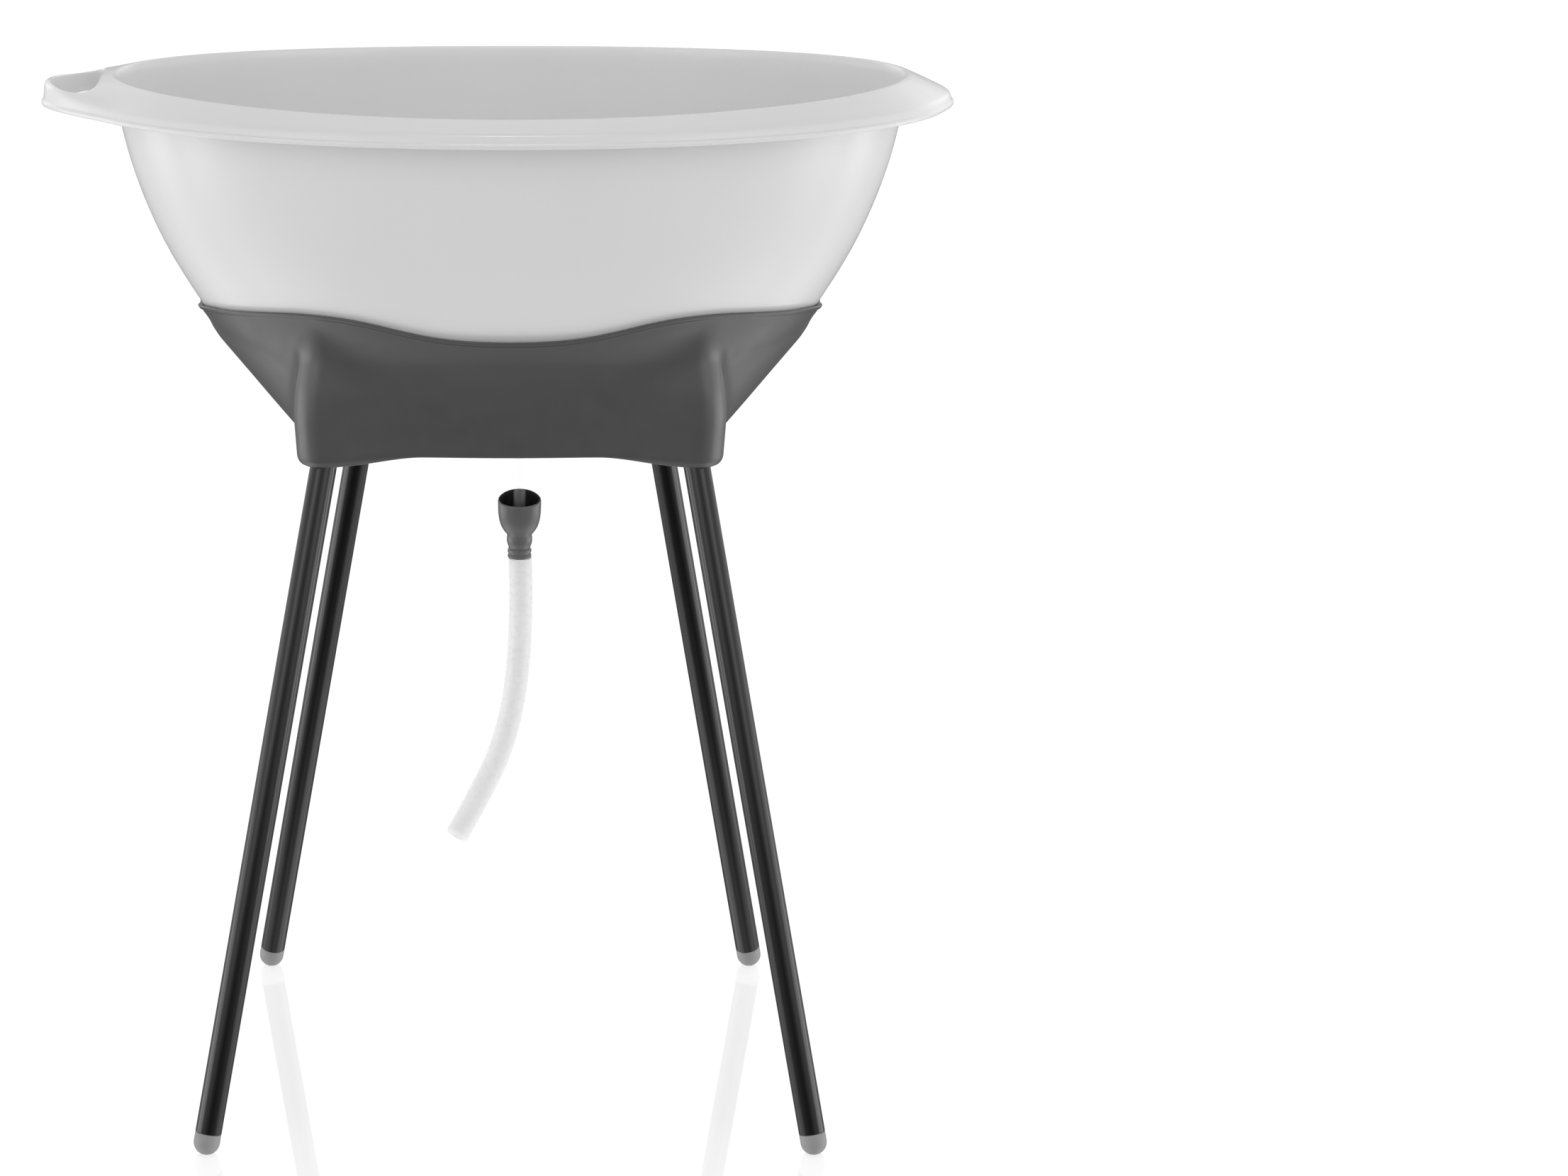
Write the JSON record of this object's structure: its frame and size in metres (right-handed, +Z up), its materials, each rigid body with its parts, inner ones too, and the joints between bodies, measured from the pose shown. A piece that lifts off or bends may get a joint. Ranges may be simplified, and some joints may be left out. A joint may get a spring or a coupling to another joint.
{
  "type": "pet bathtub",
  "caption": "Oval pet bathtub with a rolled rim, a hand hole, a plugged drain and a short drain hose, resting in a cradle on splayed tubular legs with round feet.",
  "frame": {"origin": "on the floor, below the centre of the bounding box of everything but the drain hose", "axes": "+Z up, +X along the tub away from the hand hole's end, -Y towards the front"},
  "size_m": [0.8584, 0.5246, 0.9891],
  "materials": {
    "tub_plastic": "smooth, moulded, softly glossy light grey-white",
    "fitting_plastic": "smooth white moulding",
    "cradle_plastic": "satin dark grey moulding",
    "leg_metal": "black powder coat, semi-gloss",
    "foot_plastic": "matt mid-grey moulding",
    "rubber": "soft dark grey, slightly glossy",
    "hose_plastic": "translucent, milky, flexible tube"
  },
  "bodies": {
    "stand": {"cradle": "cradle_plastic"},
    "tub": {"tub_shell": "tub_plastic", "drain_body": "fitting_plastic", "drain_gasket": "rubber", "drain_nut": "fitting_plastic", "drain_tail_pipe": "hose_plastic"},
    "plug": {"drain_plug": "fitting_plastic", "drain_plug_seal": "rubber"},
    "hose": {"hose_adaptor": "rubber", "drain_hose": "hose_plastic"},
    "leg_front_left": {"leg_tube_front_left": "leg_metal", "foot_cap_front_left": "foot_plastic", "leg_top_plug_front_left": "foot_plastic"},
    "leg_front_right": {"leg_tube_front_right": "leg_metal", "foot_cap_front_right": "foot_plastic", "leg_top_plug_front_right": "foot_plastic"},
    "leg_rear_left": {"leg_tube_rear_left": "leg_metal", "foot_cap_rear_left": "foot_plastic", "leg_top_plug_rear_left": "foot_plastic"},
    "leg_rear_right": {"leg_tube_rear_right": "leg_metal", "foot_cap_rear_right": "foot_plastic", "leg_top_plug_rear_right": "foot_plastic"}
  },
  "joints": [
    {"name": "tub_lift", "type": "slide", "parent": "stand", "child": "tub", "axis": [0, 0, 1], "range_m": [0, 0.3]},
    {"name": "plug_lift", "type": "slide", "parent": "tub", "child": "plug", "axis": [0, 0, 1], "range_m": [0, 0.12]},
    {"name": "hose_pull", "type": "slide", "parent": "tub", "child": "hose", "axis": [0, 0, -1], "range_m": [0, 0.05]},
    {"name": "leg_front_left_pull", "type": "slide", "parent": "stand", "child": "leg_front_left", "axis": [-0.1739, -0.1783, -0.9685], "range_m": [0, 0.07]},
    {"name": "leg_front_right_pull", "type": "slide", "parent": "stand", "child": "leg_front_right", "axis": [0.1739, -0.1783, -0.9685], "range_m": [0, 0.07]},
    {"name": "leg_rear_left_pull", "type": "slide", "parent": "stand", "child": "leg_rear_left", "axis": [-0.1698, 0.1756, -0.9697], "range_m": [0, 0.07]},
    {"name": "leg_rear_right_pull", "type": "slide", "parent": "stand", "child": "leg_rear_right", "axis": [0.1698, 0.1756, -0.9697], "range_m": [0, 0.07]}
  ]
}
